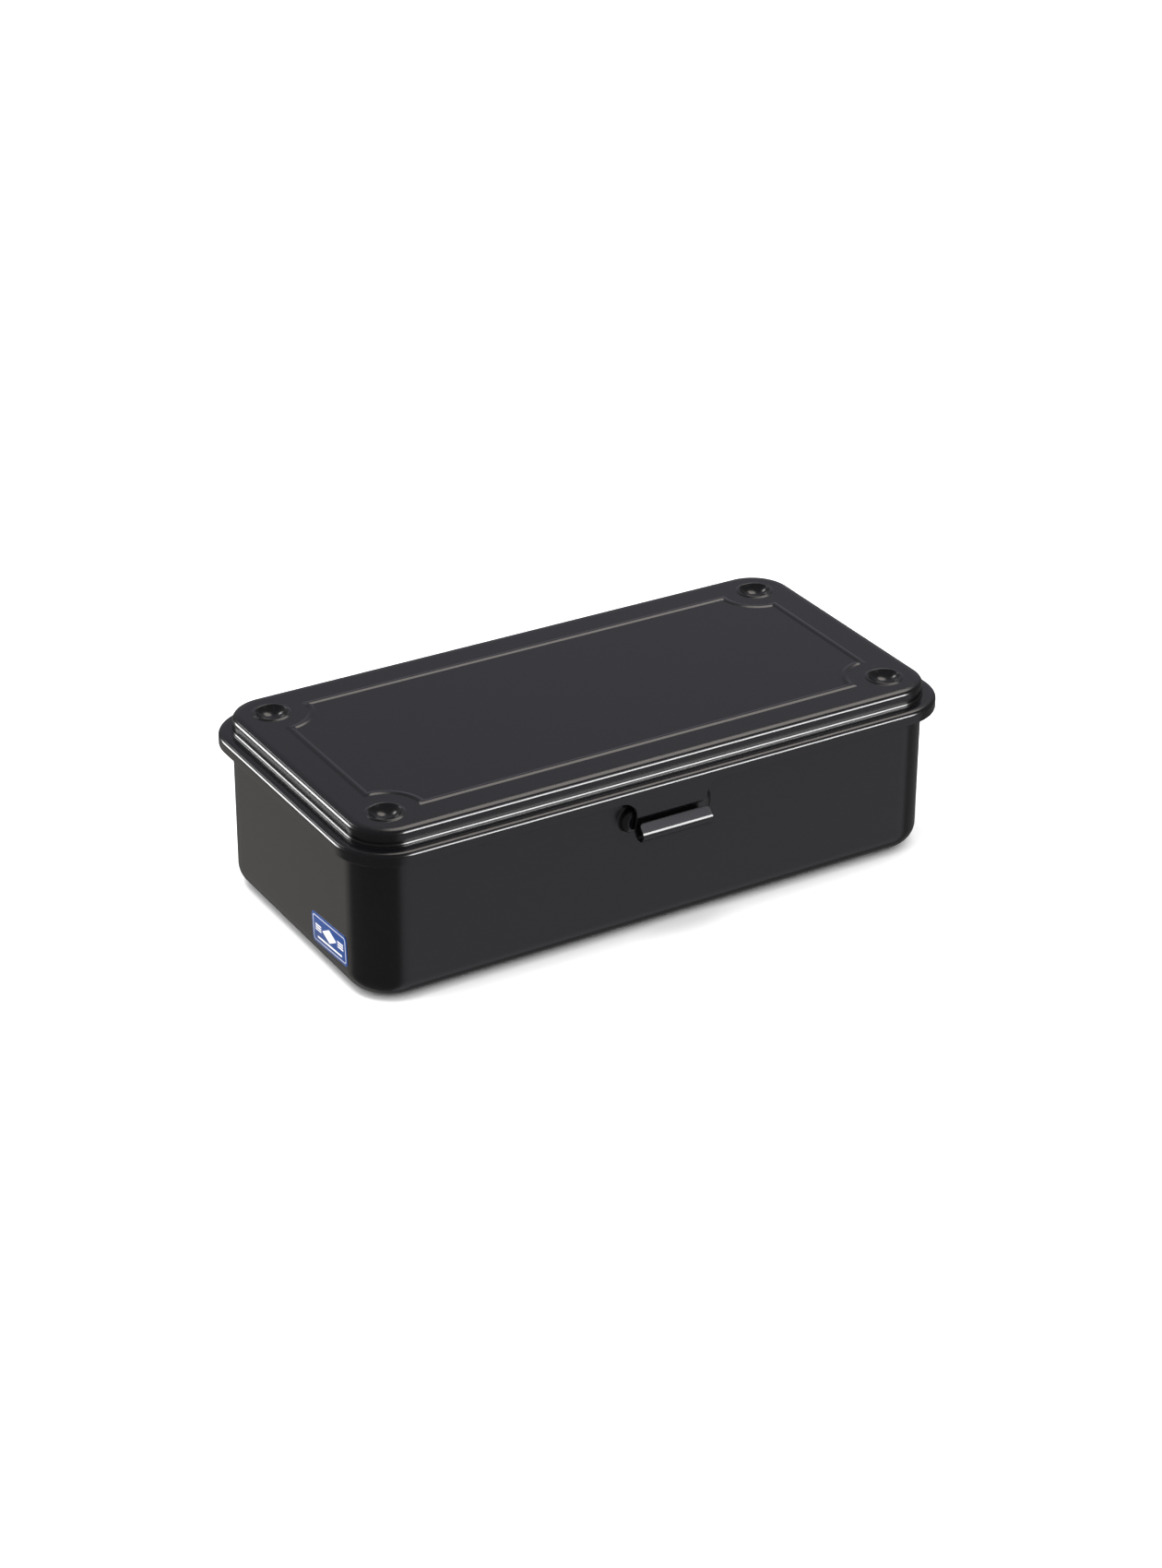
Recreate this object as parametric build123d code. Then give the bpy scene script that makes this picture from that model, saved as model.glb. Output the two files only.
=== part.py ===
from build123d import *
import math
import os

# Lunch box pressed from thin painted steel sheet: a drawn tray, a drawn lid with a
# spring latch tab, two small hinges with pins at the back, and a label on one end.
# Millimetres. X runs along the length, -Y is the latch side, +Z is up.
# The parts are drawn about the middle of the tray, then moved so that the origin is the
# middle of the whole footprint, latch and hinges included, on the resting surface.

# ---- driving dimensions ----
SHEET = 0.6                      # steel sheet of the tray and the lid
LID_LENGTH = 203.0
LID_WIDTH = 104.0
LID_CORNER = 16.8                # plan radius of the brim's corners
PLATE_TOP = 56.0                 # flat top of the lid
BRIM_TOP = 50.9
SKIRT_BOTTOM = 46.9
BRIM_EDGE = 1.4                  # outer radius where the brim turns down
TRAY_LENGTH = 195.6
TRAY_WIDTH = 95.4
TRAY_CORNER = 13.8
TRAY_BOTTOM = 0.5                # underside of the flat base, held up by the pressed feet
TRAY_BASE_EDGE = 6.4             # outer radius between base and walls
LID_GAP = 0.2                    # air between the tray's flange and the lid's brim
FLANGE_REACH = 2.4               # how far the flange stands out of the wall
HEM_DROP = 1.2                   # the flange's edge is turned down by this much
OVERLAP = 0.05                   # small overlap that fuses two solids of one piece
MARGIN = 1.0                     # how far a cutting or joining solid runs past what it meets
CURL_RADIUS = 1.9                # latch curl, middle of the sheet, on its outer side
CURL_Y = -53.5
LEAF = 0.5                       # hinge leaf sheet
FOOTPRINT_SHIFT = (CURL_RADIUS + SHEET / 2 - CURL_Y - LID_WIDTH / 2 - LEAF) / 2


def rounded_plate(length, width, radius, low, high):
    """A flat block with rounded plan corners, between two heights."""
    outline = Plane.XY.offset(low) * RectangleRounded(length, width, radius)
    return extrude(outline, high - low)


def edges_at(solid, height):
    """The solid's edges that lie flat at one height."""
    return solid.edges().filter_by_position(Axis.Z, height - 0.001, height + 0.001)


def cos_deg(angle):
    """Cosine of an angle in degrees."""
    return math.cos(math.radians(angle))


def export(shape, name):
    """Moves one sub-part to the footprint's frame, writes its file and reports its volume."""
    shape = shape.moved(Location((0, FOOTPRINT_SHIFT, 0)))
    shape.label = name
    export_step(shape, f"parts/{name}.step")
    print(f"{name}: {len(shape.solids())} solid(s), {shape.volume:.0f} mm3")


# ---- tray: drawn sheet with a turned-out flange, a latch rib and four pressed feet ----
FLANGE_TOP = BRIM_TOP - SHEET - LID_GAP
FLANGE_UNDER = FLANGE_TOP - SHEET
FLANGE_LENGTH = TRAY_LENGTH + 2 * FLANGE_REACH
FLANGE_WIDTH = TRAY_WIDTH + 2 * FLANGE_REACH
FLANGE_CORNER = TRAY_CORNER + FLANGE_REACH
FRONT_WALL = -TRAY_WIDTH / 2
BACK_WALL = TRAY_WIDTH / 2
RIB_LENGTH = 30.8
RIB_HEIGHT = 8.4
RIB_STAND = 2.4                  # how far the rib stands out of the wall
RIB_MIDDLE = 39.2
RIB_ROUND = 2.1
FOOT_RADIUS = 3.8
FOOT_EDGE = 0.4
FOOT_X = 85.3
FOOT_Y = 35.8


def tray_rib(inset):
    """The latch rib's solid, made smaller by inset for its hollow side."""
    wall = Plane(origin=(0, FRONT_WALL + inset, RIB_MIDDLE), x_dir=(1, 0, 0), z_dir=(0, -1, 0))
    outline = SlotOverall(RIB_LENGTH - 2 * inset, RIB_HEIGHT - 2 * inset)
    pad = extrude(wall * outline, RIB_STAND)
    rim = pad.faces().sort_by(Axis.Y)[0].edges()
    pad = fillet(rim, RIB_ROUND - inset)
    root = extrude(wall * outline, -SHEET - OVERLAP)
    return pad + root


def foot_pad(radius, low, high):
    """A round pad with an eased lower edge, between two heights."""
    pad = extrude(Plane.XY.offset(low) * Circle(radius), high - low)
    return fillet(edges_at(pad, low), FOOT_EDGE)


def make_tray():
    body = rounded_plate(TRAY_LENGTH, TRAY_WIDTH, TRAY_CORNER, TRAY_BOTTOM, FLANGE_TOP)
    body = fillet(edges_at(body, TRAY_BOTTOM), TRAY_BASE_EDGE)
    flange = rounded_plate(FLANGE_LENGTH, FLANGE_WIDTH, FLANGE_CORNER, FLANGE_TOP - HEM_DROP, FLANGE_TOP)
    flange = fillet(edges_at(flange, FLANGE_TOP), SHEET)
    under_flange = rounded_plate(
        FLANGE_LENGTH - 2 * SHEET, FLANGE_WIDTH - 2 * SHEET, FLANGE_CORNER - SHEET,
        FLANGE_TOP - HEM_DROP, FLANGE_UNDER,
    )
    cavity = rounded_plate(
        TRAY_LENGTH - 2 * SHEET, TRAY_WIDTH - 2 * SHEET, TRAY_CORNER - SHEET,
        TRAY_BOTTOM + SHEET, FLANGE_TOP,
    )
    cavity = fillet(edges_at(cavity, TRAY_BOTTOM + SHEET), TRAY_BASE_EDGE - SHEET)
    shell = body + (flange - under_flange) + tray_rib(0) - cavity - tray_rib(SHEET)
    for x in (-FOOT_X, FOOT_X):
        for y in (-FOOT_Y, FOOT_Y):
            place = Location((x, y, 0))
            shell += foot_pad(FOOT_RADIUS, 0, TRAY_BOTTOM + OVERLAP).moved(place)
            shell -= foot_pad(FOOT_RADIUS - SHEET, SHEET, TRAY_BOTTOM + 2 * SHEET).moved(place)
    return shell


export(make_tray(), "body_tray")

# ---- lid rim: one section carried round the plan, from the skirt to the flat plate ----
ROLL_TOP_TILT = 20               # degrees; the plate eases over before the tight top roll
EASE_RADIUS = 6.0
TOP_ROLL = 1.4
GROOVE = 0.8                     # hollow radius between the two rolls
LOWER_ROLL = 1.5
LOWER_ROLL_SWEEP = 45
LOWER_ROLL_RISE = 0.55           # where the lower roll starts, above the brim
BRIM_WIDTH = 4.1                 # brim's outer face to the foot of the raised part
FOOT_FILLET = 0.3
RIM_REACH = 10.0                 # how far in from the brim's edge the section runs


def lid_section():
    """The rim's outer line from the skirt's edge up to the plate, given the sheet's thickness.
    Its x is the distance inwards from the brim's outer face, and its y is the height."""
    skirt = Line((0, SKIRT_BOTTOM), (0, BRIM_TOP - BRIM_EDGE))
    turn = JernArc(skirt @ 1, skirt % 1, BRIM_EDGE, -90)
    brim = Line(turn @ 1, (BRIM_WIDTH - FOOT_FILLET, BRIM_TOP))
    foot = JernArc(brim @ 1, brim % 1, FOOT_FILLET, 90)
    rise = Line(foot @ 1, (BRIM_WIDTH, BRIM_TOP + LOWER_ROLL_RISE))
    low_roll = JernArc(rise @ 1, rise % 1, LOWER_ROLL, -LOWER_ROLL_SWEEP)
    groove = JernArc(low_roll @ 1, low_roll % 1, GROOVE, LOWER_ROLL_SWEEP)
    ease_drop = EASE_RADIUS * (1 - cos_deg(ROLL_TOP_TILT))
    roll_start = PLATE_TOP - ease_drop - TOP_ROLL * cos_deg(ROLL_TOP_TILT)
    wall = Line(groove @ 1, ((groove @ 1).X, roll_start))
    top_roll = JernArc(wall @ 1, wall % 1, TOP_ROLL, ROLL_TOP_TILT - 90)
    ease = JernArc(top_roll @ 1, top_roll % 1, EASE_RADIUS, -ROLL_TOP_TILT)
    plate = Line(ease @ 1, (RIM_REACH, PLATE_TOP))
    line = Wire([skirt, turn, brim, foot, rise, low_roll, groove, wall, top_roll, ease, plate])
    return make_face(line.offset_2d(SHEET, side=Side.RIGHT, closed=True))


def make_lid_rim():
    """The section swept round the brim's plan, which starts on the left side, heading forwards."""
    path = RectangleRounded(LID_LENGTH, LID_WIDTH, LID_CORNER).wire()
    plane = Plane(origin=path @ 0, x_dir=(1, 0, 0), z_dir=path % 0)
    return sweep(plane * lid_section(), path=path)


# ---- lid plate: flat, with a raised bead that steps round a stacking bowl in each corner ----
BOWL_X = 85.3
BOWL_Y = 35.8
BOWL_RADIUS = 4.8
BOWL_DEPTH = 1.3                 # middle of the bowl, below the plate
RING_RADIUS = 6.9                # where the ring round the bowl meets the plate
RING_RISE = 0.4                  # crest of the ring, above the plate
CREST_RADIUS = 5.5
BEAD_OUTER = (172.8, 74.4)       # outer outline of the bead, length and width
BEAD_WIDTH = 2.6
BEAD_RISE = 0.35
BEAD_NOTCH = 10.6                # radius of the bead's outer line round each bowl
BEAD_EDGE = 0.3


def ticket(length, width, notch):
    """A rectangle with a round bite of one radius taken out round each bowl's middle."""
    shape = Rectangle(length, width)
    for x in (-BOWL_X, BOWL_X):
        for y in (-BOWL_Y, BOWL_Y):
            shape -= Location((x, y)) * Circle(notch)
    return shape


def bead_band(low, high):
    """The bead's band between two heights."""
    length, width = BEAD_OUTER
    outer = ticket(length, width, BEAD_NOTCH)
    inner = ticket(length - 2 * BEAD_WIDTH, width - 2 * BEAD_WIDTH, BEAD_NOTCH + BEAD_WIDTH)
    return extrude(Plane.XY.offset(low) * (outer - inner), high - low)


def bowl_line():
    """Half section of a stacking bowl's upper face, from its middle out to the plate."""
    middle = (0, PLATE_TOP - BOWL_DEPTH)
    brink = (BOWL_RADIUS, PLATE_TOP + RING_RISE / 2)
    crest = (CREST_RADIUS, PLATE_TOP + RING_RISE)
    plate = (RING_RADIUS, PLATE_TOP)
    bowl = TangentArc(middle, brink, tangent=(1, 0))
    return Wire([bowl, Line(brink, crest), Line(crest, plate)])


def make_bowl():
    """The sheet of one stacking bowl, as wide as its ring."""
    half = make_face(Plane.XZ * bowl_line().offset_2d(SHEET, side=Side.RIGHT, closed=True))
    return revolve(half, Axis.Z)


def make_lid_plate():
    inset = RIM_REACH - OVERLAP
    corner = LID_CORNER - inset
    plate = rounded_plate(
        LID_LENGTH - 2 * inset, LID_WIDTH - 2 * inset, corner, PLATE_TOP - SHEET, PLATE_TOP,
    )
    bead = bead_band(PLATE_TOP - OVERLAP, PLATE_TOP + BEAD_RISE)
    bead = chamfer(edges_at(bead, PLATE_TOP + BEAD_RISE), BEAD_EDGE)
    plate = plate + bead - bead_band(PLATE_TOP - SHEET, PLATE_TOP - SHEET + BEAD_RISE / 2)
    for x in (-BOWL_X, BOWL_X):
        for y in (-BOWL_Y, BOWL_Y):
            hole = rounded_plate(2 * RING_RADIUS, 2 * RING_RADIUS, RING_RADIUS - OVERLAP, 0, PLATE_TOP + MARGIN)
            plate = plate - hole.moved(Location((x, y, 0))) + make_bowl().moved(Location((x, y, 0)))
    return plate


# ---- latch: a tab on the front skirt that springs over the tray's rib and ends in a curl ----
TAB_WIDTH = 24.2
TAB_CORNER = 4.7                 # hollow radius from the skirt into the tab's sides
TAB_STRAIGHT = 42.0              # the tab is upright down to this height
TAB_BEND = 5.0                   # bend radius where it starts to lean in towards the tray
HOOK_RADIUS = 2.6                # the curl's radius on the side next to the tray
CURL_BOTTOM = 34.75              # middle of the sheet at the curl's lowest point
LIP_LEAN = 44                    # degrees that the lip leans back from upright
LIP_LENGTH = 2.8
LIP_CORNER = 1.3


def latch_line():
    """The middle of the latch's sheet, from the skirt down and round the curl to its lip.
    Its x is the distance outwards from the lid's middle, and its y is the height."""
    upright = LID_WIDTH / 2 - SHEET / 2
    centre = Vector(-CURL_Y, CURL_BOTTOM + HOOK_RADIUS)
    corner = Vector(upright, TAB_STRAIGHT)
    reach = corner - centre
    turn = math.degrees(math.atan2(reach.Y, reach.X)) + math.degrees(math.acos(HOOK_RADIUS / reach.length))
    lean = 180 - turn
    touch = centre + Vector(HOOK_RADIUS, 0).rotate(Axis.Z, turn)
    bend_start = TAB_STRAIGHT + TAB_BEND * math.tan(math.radians(lean / 2))
    drop = Line((upright, SKIRT_BOTTOM + MARGIN), (upright, bend_start))
    bend = JernArc(drop @ 1, drop % 1, TAB_BEND, -lean)
    slope = Line(bend @ 1, touch)
    hook = JernArc(touch, slope % 1, HOOK_RADIUS, 90 + lean)
    curl = JernArc(hook @ 1, hook % 1, CURL_RADIUS, 90 + LIP_LEAN)
    lip = Line(curl @ 1, (curl @ 1) + (curl % 1) * LIP_LENGTH)
    return [drop, bend, slope, hook, curl, lip]


def tab_front():
    """Outline of the tab's upright part seen from the front, with its hollow corners."""
    height = SKIRT_BOTTOM + MARGIN - TAB_STRAIGHT
    outline = Location((0, TAB_STRAIGHT + height / 2)) * Rectangle(TAB_WIDTH, height)
    for side in (-1, 1):
        x = side * (TAB_WIDTH / 2 + TAB_CORNER / 2)
        gusset = Location((x, SKIRT_BOTTOM + OVERLAP - TAB_CORNER / 2)) * Rectangle(TAB_CORNER, TAB_CORNER)
        bite = Location((side * (TAB_WIDTH / 2 + TAB_CORNER), SKIRT_BOTTOM - TAB_CORNER)) * Circle(TAB_CORNER)
        outline += gusset - bite
    return outline


def make_latch():
    across = Plane(origin=(TAB_WIDTH / 2, 0, 0), x_dir=(0, -1, 0), z_dir=(-1, 0, 0))
    strip = extrude(across * trace(latch_line(), SHEET), TAB_WIDTH)
    short = [edge for edge in strip.edges() if abs(edge.length - SHEET) < SHEET / 10]
    lip_ends = [edge for edge in short if edge.center().Z < SKIRT_BOTTOM]
    strip = fillet(lip_ends, LIP_CORNER)
    tab = extrude(Plane.XZ.offset(LID_WIDTH / 2 - SHEET) * tab_front(), SHEET)
    return strip + tab


lid = make_lid_rim() + make_lid_plate() + make_latch()
export(lid, "lid_shell")

# ---- hinges: two small knuckle hinges on the back, one leaf on the wall, one on the skirt ----
HINGE_X = 58.0
HINGE_WIDTH = 20.0
PIN_RADIUS = 0.7
PIN_PLAY = 0.05                  # running clearance round the pin
PIN_HEAD = 1.15                  # radius of the pin's upset ends
KNUCKLE_RADIUS = PIN_RADIUS + PIN_PLAY + LEAF
HINGE_Y = LID_WIDTH / 2 + LEAF - KNUCKLE_RADIUS
HINGE_Z = 45.4
LID_KNUCKLE = 7.6                # width of the middle knuckle
KNUCKLE_GAP = 0.2
WALL_LEAF_BOTTOM = 36.4
LID_LEAF_TOP = 49.0
LEAF_CORNER = 1.2


def along_x(radius, left, right):
    """A round bar along X on the hinge's axis."""
    start = Plane(origin=(left, HINGE_Y, HINGE_Z), x_dir=(0, 1, 0), z_dir=(1, 0, 0))
    return extrude(start * Circle(radius), right - left)


def block(low, high):
    """A box between two corners."""
    size = Vector(high) - Vector(low)
    middle = (Vector(high) + Vector(low)) * 0.5
    return Box(size.X, size.Y, size.Z).moved(Location(middle))


def wall_leaf():
    """The leaf on the tray's back wall: a plate, a shelf and the two outer knuckles."""
    half = HINGE_WIDTH / 2
    split = LID_KNUCKLE / 2 + KNUCKLE_GAP
    shelf_low = HINGE_Z - KNUCKLE_RADIUS
    plate = block((-half, BACK_WALL, WALL_LEAF_BOTTOM), (half, BACK_WALL + LEAF, shelf_low + LEAF))
    lower = plate.edges().filter_by(Axis.Y).group_by(Axis.Z)[0]
    leaf = fillet(lower, LEAF_CORNER)
    for left, right in ((-half, -split), (split, half)):
        leaf += block((left, BACK_WALL, shelf_low), (right, HINGE_Y, shelf_low + LEAF))
        leaf += along_x(KNUCKLE_RADIUS, left, right)
    return leaf - along_x(PIN_RADIUS + PIN_PLAY, -half - MARGIN, half + MARGIN)


def lid_leaf():
    """The leaf on the lid's skirt: a plate with the one middle knuckle under it."""
    half = HINGE_WIDTH / 2
    outer = LID_WIDTH / 2 + LEAF
    plate = block((-half, LID_WIDTH / 2, SKIRT_BOTTOM + KNUCKLE_GAP), (half, outer, LID_LEAF_TOP))
    upper = plate.edges().filter_by(Axis.Y).group_by(Axis.Z)[-1]
    leaf = fillet(upper, LEAF_CORNER)
    middle = LID_KNUCKLE / 2
    leaf += block((-middle, LID_WIDTH / 2, HINGE_Z), (middle, outer, SKIRT_BOTTOM + LEAF_CORNER))
    leaf += along_x(KNUCKLE_RADIUS, -middle, middle)
    return leaf - along_x(PIN_RADIUS + PIN_PLAY, -middle - MARGIN, middle + MARGIN)


def hinge_pin():
    """A pin with upset ends that keep it in the knuckles."""
    half = HINGE_WIDTH / 2
    pin = along_x(PIN_RADIUS, -half - PIN_RADIUS, half + PIN_RADIUS)
    for side in (-1, 1):
        near = side * half + side * PIN_PLAY
        far = side * (half + PIN_RADIUS)
        pin += along_x(PIN_HEAD, min(near, far), max(near, far))
    return pin


for side, place in (("left", -HINGE_X), ("right", HINGE_X)):
    at = Location((place, 0, 0))
    export(wall_leaf().moved(at), f"hinge_{side}_wall_leaf")
    export(lid_leaf().moved(at), f"hinge_{side}_lid_leaf")
    export(hinge_pin().moved(at), f"hinge_{side}_pin")

# ---- label: a thin film sticker low on the left end, near the front ----
LABEL_WIDTH = 21.8
LABEL_HEIGHT = 9.8
LABEL_CORNER = 1.4
LABEL_FILM = 0.12
LABEL_Y = -23.5
LABEL_Z = 12.4
LABEL_TILT = 3.5                 # degrees, front end up, as it was stuck on by hand

left_wall = Plane(origin=(-TRAY_LENGTH / 2, LABEL_Y, LABEL_Z), x_dir=(0, -1, 0), z_dir=(-1, 0, 0))
sticker = RectangleRounded(LABEL_WIDTH, LABEL_HEIGHT, LABEL_CORNER)
sticker = left_wall * (Rotation(0, 0, LABEL_TILT) * sticker)
export(extrude(sticker, LABEL_FILM), "end_label")
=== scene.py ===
import bmesh
import bpy
import math
from mathutils import Matrix, Quaternion, Vector


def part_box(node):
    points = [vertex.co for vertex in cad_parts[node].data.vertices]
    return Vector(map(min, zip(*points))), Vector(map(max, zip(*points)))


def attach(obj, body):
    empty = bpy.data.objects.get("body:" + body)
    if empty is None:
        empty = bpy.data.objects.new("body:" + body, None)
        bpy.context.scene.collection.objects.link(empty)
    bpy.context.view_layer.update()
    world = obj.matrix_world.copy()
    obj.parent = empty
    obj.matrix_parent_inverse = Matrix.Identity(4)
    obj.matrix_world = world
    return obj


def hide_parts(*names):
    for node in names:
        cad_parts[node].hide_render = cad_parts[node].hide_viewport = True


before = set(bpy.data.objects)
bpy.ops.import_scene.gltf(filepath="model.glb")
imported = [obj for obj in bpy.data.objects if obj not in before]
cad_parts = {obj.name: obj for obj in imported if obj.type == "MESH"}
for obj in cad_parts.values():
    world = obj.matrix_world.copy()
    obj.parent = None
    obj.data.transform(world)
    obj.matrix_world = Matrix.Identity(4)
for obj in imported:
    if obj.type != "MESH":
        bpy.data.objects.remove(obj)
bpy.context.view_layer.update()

# ---- camera ----
# A long lens just over a metre from the box, off its front left corner and looking down on it,
# with the horizon a touch off level.

camera_aim = Vector((-0.0005, 0.0005, 0.0263))
camera_distance = 1.0814
camera_azimuth = math.radians(30.86)
camera_elevation = math.radians(27.99)
camera_roll = math.radians(0.29)

bpy.ops.object.camera_add()
camera = bpy.context.object
camera.name = "camera"
camera.data.lens = 82.0
camera.data.clip_start = 0.05
camera_back = Vector((
    -math.sin(camera_azimuth) * math.cos(camera_elevation),
    -math.cos(camera_azimuth) * math.cos(camera_elevation),
    math.sin(camera_elevation),
))
camera.location = camera_aim + camera_back * camera_distance
camera.rotation_mode = "QUATERNION"
camera.rotation_quaternion = (-camera_back).to_track_quat("-Z", "Y")
camera.rotation_quaternion @= Quaternion((0, 0, 1), camera_roll)
bpy.context.scene.camera = camera
bpy.context.scene.view_settings.view_transform = "Standard"


# ---- floor and light ----
# A pale matt table top under an overhead softbox, with two low strip lights that draw the
# box's rolled edges, in a dim grey studio.

def colour(hex_code, alpha=1.0):
    """An sRGB hex colour as linear values."""
    channels = [int(hex_code[i:i + 2], 16) / 255 for i in (1, 3, 5)]
    linear = [c / 12.92 if c <= 0.04045 else ((c + 0.055) / 1.055) ** 2.4 for c in channels]
    return (*linear, alpha)


def add_node(tree, kind, settings=None, **inputs):
    """Adds a node, sets its properties, and fills each input with a value or links it to a socket."""
    made = tree.nodes.new(kind)
    for name, value in (settings or {}).items():
        setattr(made, name, value)
    for name, value in inputs.items():
        key = int(name[1:]) if name[0] == "i" and name[1:].isdigit() else name.replace("_", " ")
        if isinstance(value, bpy.types.NodeSocket):
            tree.links.new(value, made.inputs[key])
        else:
            made.inputs[key].default_value = value
    return made


def new_material(name):
    """An empty material: its node tree and its output node."""
    made = bpy.data.materials.new(name)
    made.use_nodes = True
    made.node_tree.nodes.clear()
    return made, made.node_tree, made.node_tree.nodes.new("ShaderNodeOutputMaterial")


def sun(name, azimuth, elevation, width, radiance, tint, gloss):
    """A softbox far away, width degrees across. It lights either gloss alone or everything else."""
    bpy.ops.object.light_add(type="SUN")
    made = bpy.context.object
    made.name = name
    made.data.angle = math.radians(width)
    made.data.energy = radiance * math.pi * math.tan(math.radians(width / 2)) ** 2
    made.data.color = colour(tint)[:3]
    made.visible_glossy = gloss
    made.visible_diffuse = not gloss
    a, e = math.radians(azimuth), math.radians(elevation)
    towards = Vector((math.sin(a) * math.cos(e), -math.cos(a) * math.cos(e), math.sin(e)))
    made.rotation_mode = "QUATERNION"
    made.rotation_quaternion = towards.to_track_quat("Z", "Y")
    return made


sun("strip_back_left", -141, 9, 26, 20, "#FFFFFF", True)
sun("strip_front_right", 29, 19, 26, 30, "#FFFFFF", True)
sun("panel_back_right", 131, 54, 26, 3.8, "#FFF8EE", True)
sun("panel_back_left", -166, 39, 12, 9, "#FFFFFF", True)
sun("panel_front_right", 37, 46, 18, 2.6, "#F4F4FF", True)
sun("overhead", -100, 78, 26, 13, "#FFFFFF", False)
sun("dome", 0, 90, 140, 0.2, "#FFFFFF", False)

bpy.ops.mesh.primitive_circle_add(vertices=64, radius=9, fill_type="NGON")
floor = bpy.context.object
floor.name = "floor"
# matt white board: coated paper with no gloss, so the floor stays an even pale ground for the shadow
paper, tree, output = new_material("matt_white_board")
board = add_node(tree, "ShaderNodeBsdfDiffuse", Color=colour("#F2F2F2"))
tree.links.new(board.outputs[0], output.inputs["Surface"])
floor.data.materials.append(paper)
floor.visible_glossy = False

# the studio: a dim grey room with three soft glows. The front wall and the left end of the box mirror
# the two low ones, and the plate of the lid mirrors the high one.
room_grey = (0.2, 0.2, 0.2, 1)
wall_tint = (0.80, 0.79, 0.85, 1)
end_tint = (0.55, 0.525, 0.495, 1)
top_tint = (0.365, 0.355, 0.40, 1)
front_right = (0.513, -0.858, 0)
over_back = (0.453, 0.758, 0.469)

world = bpy.data.worlds.new("studio")
bpy.context.scene.world = world
world.use_nodes = True
tree = world.node_tree
coords = add_node(tree, "ShaderNodeTexCoord")
level = add_node(
    tree, "ShaderNodeVectorMath", {"operation": "MULTIPLY"}, i0=coords.outputs["Generated"], i1=(1, 1, 0),
)
heading = add_node(tree, "ShaderNodeVectorMath", {"operation": "NORMALIZE"}, i0=level.outputs[0])
across = add_node(
    tree, "ShaderNodeVectorMath", {"operation": "DOT_PRODUCT"}, i0=heading.outputs[0], i1=front_right,
)
smooth = {"interpolation_type": "SMOOTHSTEP"}
right = add_node(
    tree, "ShaderNodeMapRange", smooth, i0=across.outputs["Value"], i1=0.80, i2=0.97, i3=0.0, i4=1.0,
)
left = add_node(
    tree, "ShaderNodeMapRange", smooth, i0=across.outputs["Value"], i1=-0.90, i2=-0.985, i3=0.0, i4=1.0,
)
height = add_node(tree, "ShaderNodeSeparateXYZ", Vector=coords.outputs["Generated"])
below = add_node(
    tree, "ShaderNodeMapRange", smooth, i0=height.outputs["Z"], i1=-0.1, i2=-0.3, i3=0.0, i4=1.0,
)
wall_glow = add_node(
    tree, "ShaderNodeMath", {"operation": "MULTIPLY"}, i0=right.outputs[0], i1=below.outputs[0],
)
end_glow = add_node(
    tree, "ShaderNodeMath", {"operation": "MULTIPLY"}, i0=left.outputs[0], i1=below.outputs[0],
)
over = add_node(
    tree, "ShaderNodeVectorMath", {"operation": "DOT_PRODUCT"},
    i0=coords.outputs["Generated"], i1=over_back,
)
top_glow = add_node(
    tree, "ShaderNodeMapRange", smooth, i0=over.outputs["Value"], i1=0.80, i2=0.95, i3=0.0, i4=1.0,
)
room = room_grey
for glow, tint in ((wall_glow, wall_tint), (end_glow, end_tint), (top_glow, top_tint)):
    mixed = add_node(
        tree, "ShaderNodeMix", {"data_type": "RGBA"}, i0=glow.outputs[0], i6=room, i7=tint,
    )
    room = mixed.outputs[2]
tree.links.new(room, tree.nodes["Background"].inputs["Color"])

# ---- lid ----
# Drawn from one 0.6 mm steel sheet: a skirt, a flat brim, two rolled steps and a plate with a
# raised bead and four stacking bowls. The latch tab is cut out with the skirt and curled by hand.

# near and exact are how close to a place, in mm, an element has to be to count as there
mm = 0.001
near = 0.01
exact = 0.001
sheet = 0.6
tray_low, tray_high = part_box("body_tray")
lid_low, lid_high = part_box("lid_shell")
middle_y = (tray_low.y + tray_high.y) / 2


def pick(kind, test, add=False):
    """In edit mode, selects what passes a test of the element and its middle, in mm about the box."""
    bpy.ops.mesh.select_mode(type=kind)
    if not add:
        bpy.ops.mesh.select_all(action="DESELECT")
    mesh = bmesh.from_edit_mesh(bpy.context.object.data)
    for part in {"VERT": mesh.verts, "EDGE": mesh.edges, "FACE": mesh.faces}[kind]:
        corners = [part] if kind == "VERT" else list(part.verts)
        middle = sum((v.co for v in corners), Vector()) / len(corners)
        if test(part, (middle - Vector((0, middle_y, 0))) / mm):
            part.select = True
    mesh.select_flush_mode()
    bmesh.update_edit_mesh(bpy.context.object.data)


def spot(x, y, z):
    """A place in mm about the box's middle, as Blender's metres."""
    return Vector((x * mm, middle_y + y * mm, z * mm))


def straight(length, heading):
    """Carries the selected face along a straight stretch of its section: 0 is inwards, 90 is up."""
    a = math.radians(heading)
    bpy.ops.mesh.inset(thickness=max(0, length * math.cos(a)) * mm, depth=length * math.sin(a) * mm)


def bend(radius, heading, turn, steps):
    """Carries the selected face round a bend of its section."""
    chord = 2 * radius * math.sin(math.radians(abs(turn) / steps / 2))
    for i in range(steps):
        straight(chord, heading + turn * (i + 0.5) / steps)


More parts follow.
